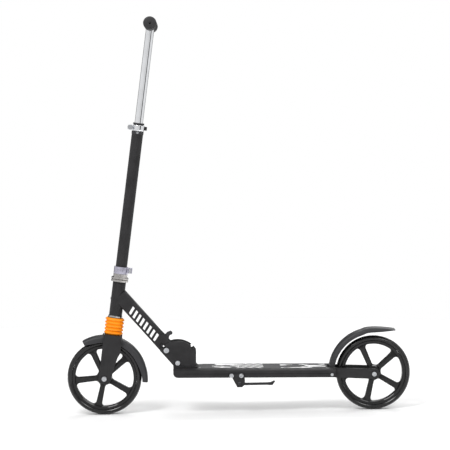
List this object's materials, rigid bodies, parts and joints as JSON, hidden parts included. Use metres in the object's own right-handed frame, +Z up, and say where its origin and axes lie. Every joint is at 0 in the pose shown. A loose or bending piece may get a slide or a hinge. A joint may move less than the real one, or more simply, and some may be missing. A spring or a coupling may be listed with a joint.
{
  "type": "kick scooter",
  "caption": "Folding kick scooter with large wheels, sprung front fork under a rubber gaiter, height-adjustable T-bar, notched fold latch, fender brake and side kickstand",
  "frame": {"origin": "on the ground in the middle plane, half way between the two axles", "axes": "+X points forward, +Y to the rider's left (the kickstand side), +Z up"},
  "size_m": [0.924, 0.36, 1.0598],
  "materials": {
    "black_paint": "matt black powder coat",
    "black_alloy": "matt black powder coat on aluminium",
    "grip_tape": "gritty grip tape",
    "steel_hardware": "zinc-plated steel",
    "spring_steel": "oiled spring wire",
    "chrome": "polished chrome plate",
    "collar_alloy": "satin silver anodised",
    "black_plastic": "fine-grained black nylon",
    "bronze": "plain bearing bush",
    "black_anodised": "black anodised",
    "grip_rubber": "soft textured rubber",
    "brake_rubber": "firm friction rubber",
    "gaiter_rubber": "bright orange moulded rubber",
    "gloss_wheel": "gloss black moulding",
    "tyre_rubber": "smooth cast polyurethane"
  },
  "bodies": {
    "deck": {"deck_board": "black_alloy", "grip_tape": "grip_tape", "nose_cap": "black_alloy", "quadrant_left": "black_paint", "quadrant_right": "black_paint", "bracket_screws": "black_anodised", "fold_pivot_bolt": "steel_hardware", "fold_stop_bolt": "steel_hardware", "rear_arm_left": "black_alloy", "rear_arm_right": "black_alloy", "arm_screws": "steel_hardware", "rear_axle": "steel_hardware", "rear_spacers": "steel_hardware", "fender_pivot_bolt": "steel_hardware", "brake_spring": "spring_steel", "kickstand_bracket": "black_alloy", "kickstand_bolts": "steel_hardware", "kickstand_spring": "spring_steel"},
    "neck": {"neck_foot": "black_alloy", "pivot_bush": "bronze", "down_tube": "black_alloy", "head_tube": "black_alloy", "upper_cup": "chrome", "headset_bearings": "steel_hardware", "neck_rivet": "steel_hardware", "latch_spring": "spring_steel"},
    "latch": {"release_trigger": "black_plastic", "latch_pin": "black_anodised"},
    "steering": {"steerer_tube": "steel_hardware", "headset_races": "chrome", "headset_locknut": "chrome", "clamp_collar": "collar_alloy", "column": "black_alloy", "column_bolts": "steel_hardware", "top_bush": "black_plastic", "height_clamp": "chrome", "qr_skewer": "steel_hardware", "suspension_spring": "spring_steel", "bellows": "gaiter_rubber"},
    "lever": {"qr_lever": "black_plastic"},
    "handlebar": {"t_bar": "chrome", "stem_plug": "black_plastic", "grip_left": "grip_rubber", "grip_right": "grip_rubber"},
    "front_fork": {"fork": "black_alloy", "stanchion": "steel_hardware", "rebound_bolt": "steel_hardware", "front_axle": "steel_hardware", "front_spacers": "steel_hardware", "front_mudguard": "black_plastic", "mudguard_screws": "black_anodised"},
    "front_wheel": {"front_wheel_core": "gloss_wheel", "front_tyre": "tyre_rubber", "front_bearings": "steel_hardware"},
    "rear_wheel": {"rear_wheel_core": "gloss_wheel", "rear_tyre": "tyre_rubber", "rear_bearings": "steel_hardware"},
    "fender": {"rear_fender": "black_plastic", "brake_pad": "brake_rubber"},
    "kickstand": {"kickstand_leg": "black_paint"}
  },
  "joints": [
    {"name": "fold", "type": "hinge", "parent": "deck", "child": "neck", "pos_m": [0.1645, 0, 0.13804], "axis": [0, -1, 0], "range_deg": [0, 84]},
    {"name": "latch_slide", "type": "slide", "parent": "neck", "child": "latch", "axis": [-0.6547, 0, -0.7558], "range_m": [0, 0.0085], "deforming": ["latch_spring"]},
    {"name": "steering_turn", "type": "hinge", "parent": "neck", "child": "steering", "pos_m": [0.323, 0, 0.31284], "axis": [-0.1392, 0, 0.9903], "continuous": true},
    {"name": "suspension", "type": "slide", "parent": "steering", "child": "front_fork", "axis": [-0.1392, 0, 0.9903], "range_m": [0, 0.012], "stiffness_N_per_m": 25000, "springref_m": -0.004, "deforming": ["suspension_spring", "bellows"]},
    {"name": "front_wheel_spin", "type": "hinge", "parent": "front_fork", "child": "front_wheel", "pos_m": [0.362, 0, 0.1], "axis": [0, 1, 0], "continuous": true},
    {"name": "bar_height", "type": "slide", "parent": "steering", "child": "handlebar", "axis": [0.1392, 0, -0.9903], "range_m": [0, 0.2]},
    {"name": "lever_open", "type": "hinge", "parent": "steering", "child": "lever", "pos_m": [0.27972, -0.0155, 0.77168], "axis": [-0.1392, 0, 0.9903], "range_deg": [0, 90]},
    {"name": "brake", "type": "hinge", "parent": "deck", "child": "fender", "pos_m": [-0.2474, 0, 0.1034], "axis": [0, -1, 0], "range_deg": [0, 3.1], "stiffness_Nm_per_rad": 2, "springref_deg": -28.65},
    {"name": "rear_wheel_spin", "type": "hinge", "parent": "deck", "child": "rear_wheel", "pos_m": [-0.362, 0, 0.1], "axis": [0, 1, 0], "continuous": true},
    {"name": "kickstand_swing", "type": "hinge", "parent": "deck", "child": "kickstand", "pos_m": [0.00061, 0.0515, 0.082], "axis": [0, -0.9781, -0.2079], "range_deg": [0, 62]}
  ]
}
